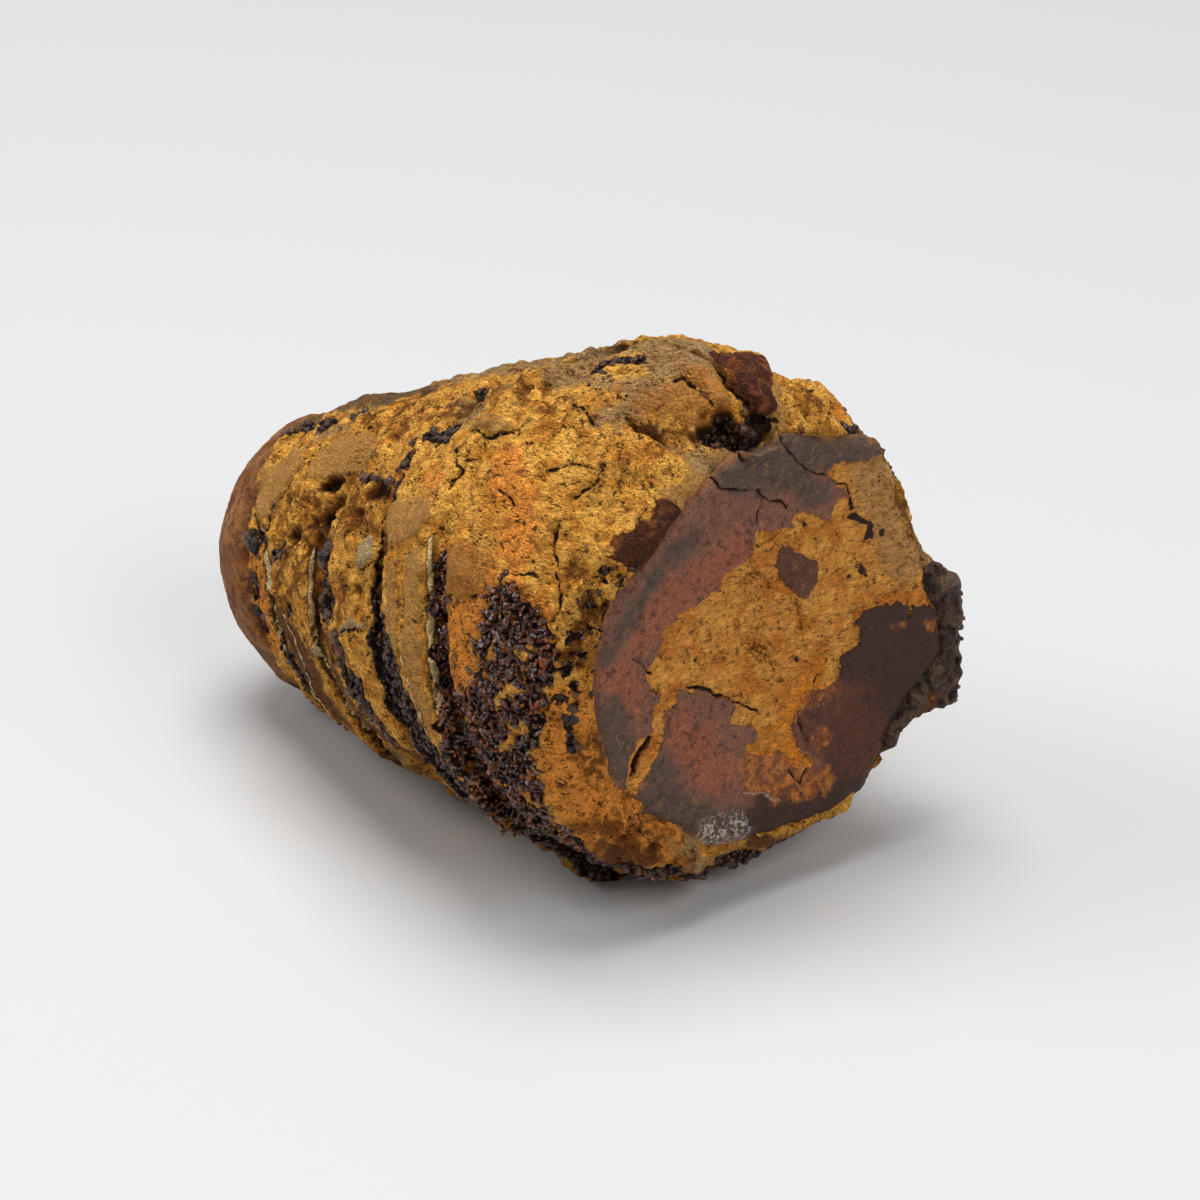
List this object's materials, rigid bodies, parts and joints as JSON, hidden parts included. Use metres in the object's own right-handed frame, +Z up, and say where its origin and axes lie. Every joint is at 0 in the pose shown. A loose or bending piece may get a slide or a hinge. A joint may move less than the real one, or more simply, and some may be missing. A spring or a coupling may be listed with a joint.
{
  "type": "fossil nautiloid",
  "caption": "Tapering chambered shell cast in yellow-brown limonite, ringed by crystal-lined sutures, rounded at its small end and broken across a dark septum at its big end.",
  "frame": {"origin": "on the surface that the fossil rests on, below the middle of its bounding box", "axes": "+X from the rounded small end towards the broken face, +Z up"},
  "size_m": [0.05, 0.0326, 0.0351],
  "materials": {
    "limonite": "dull porous ochre stone with smooth dark iron skins and glossy crystal druse",
    "hematite_druse": "small glossy dark purple-brown crystals"
  },
  "bodies": {
    "root": {"fossil": "limonite"}
  },
  "joints": []
}
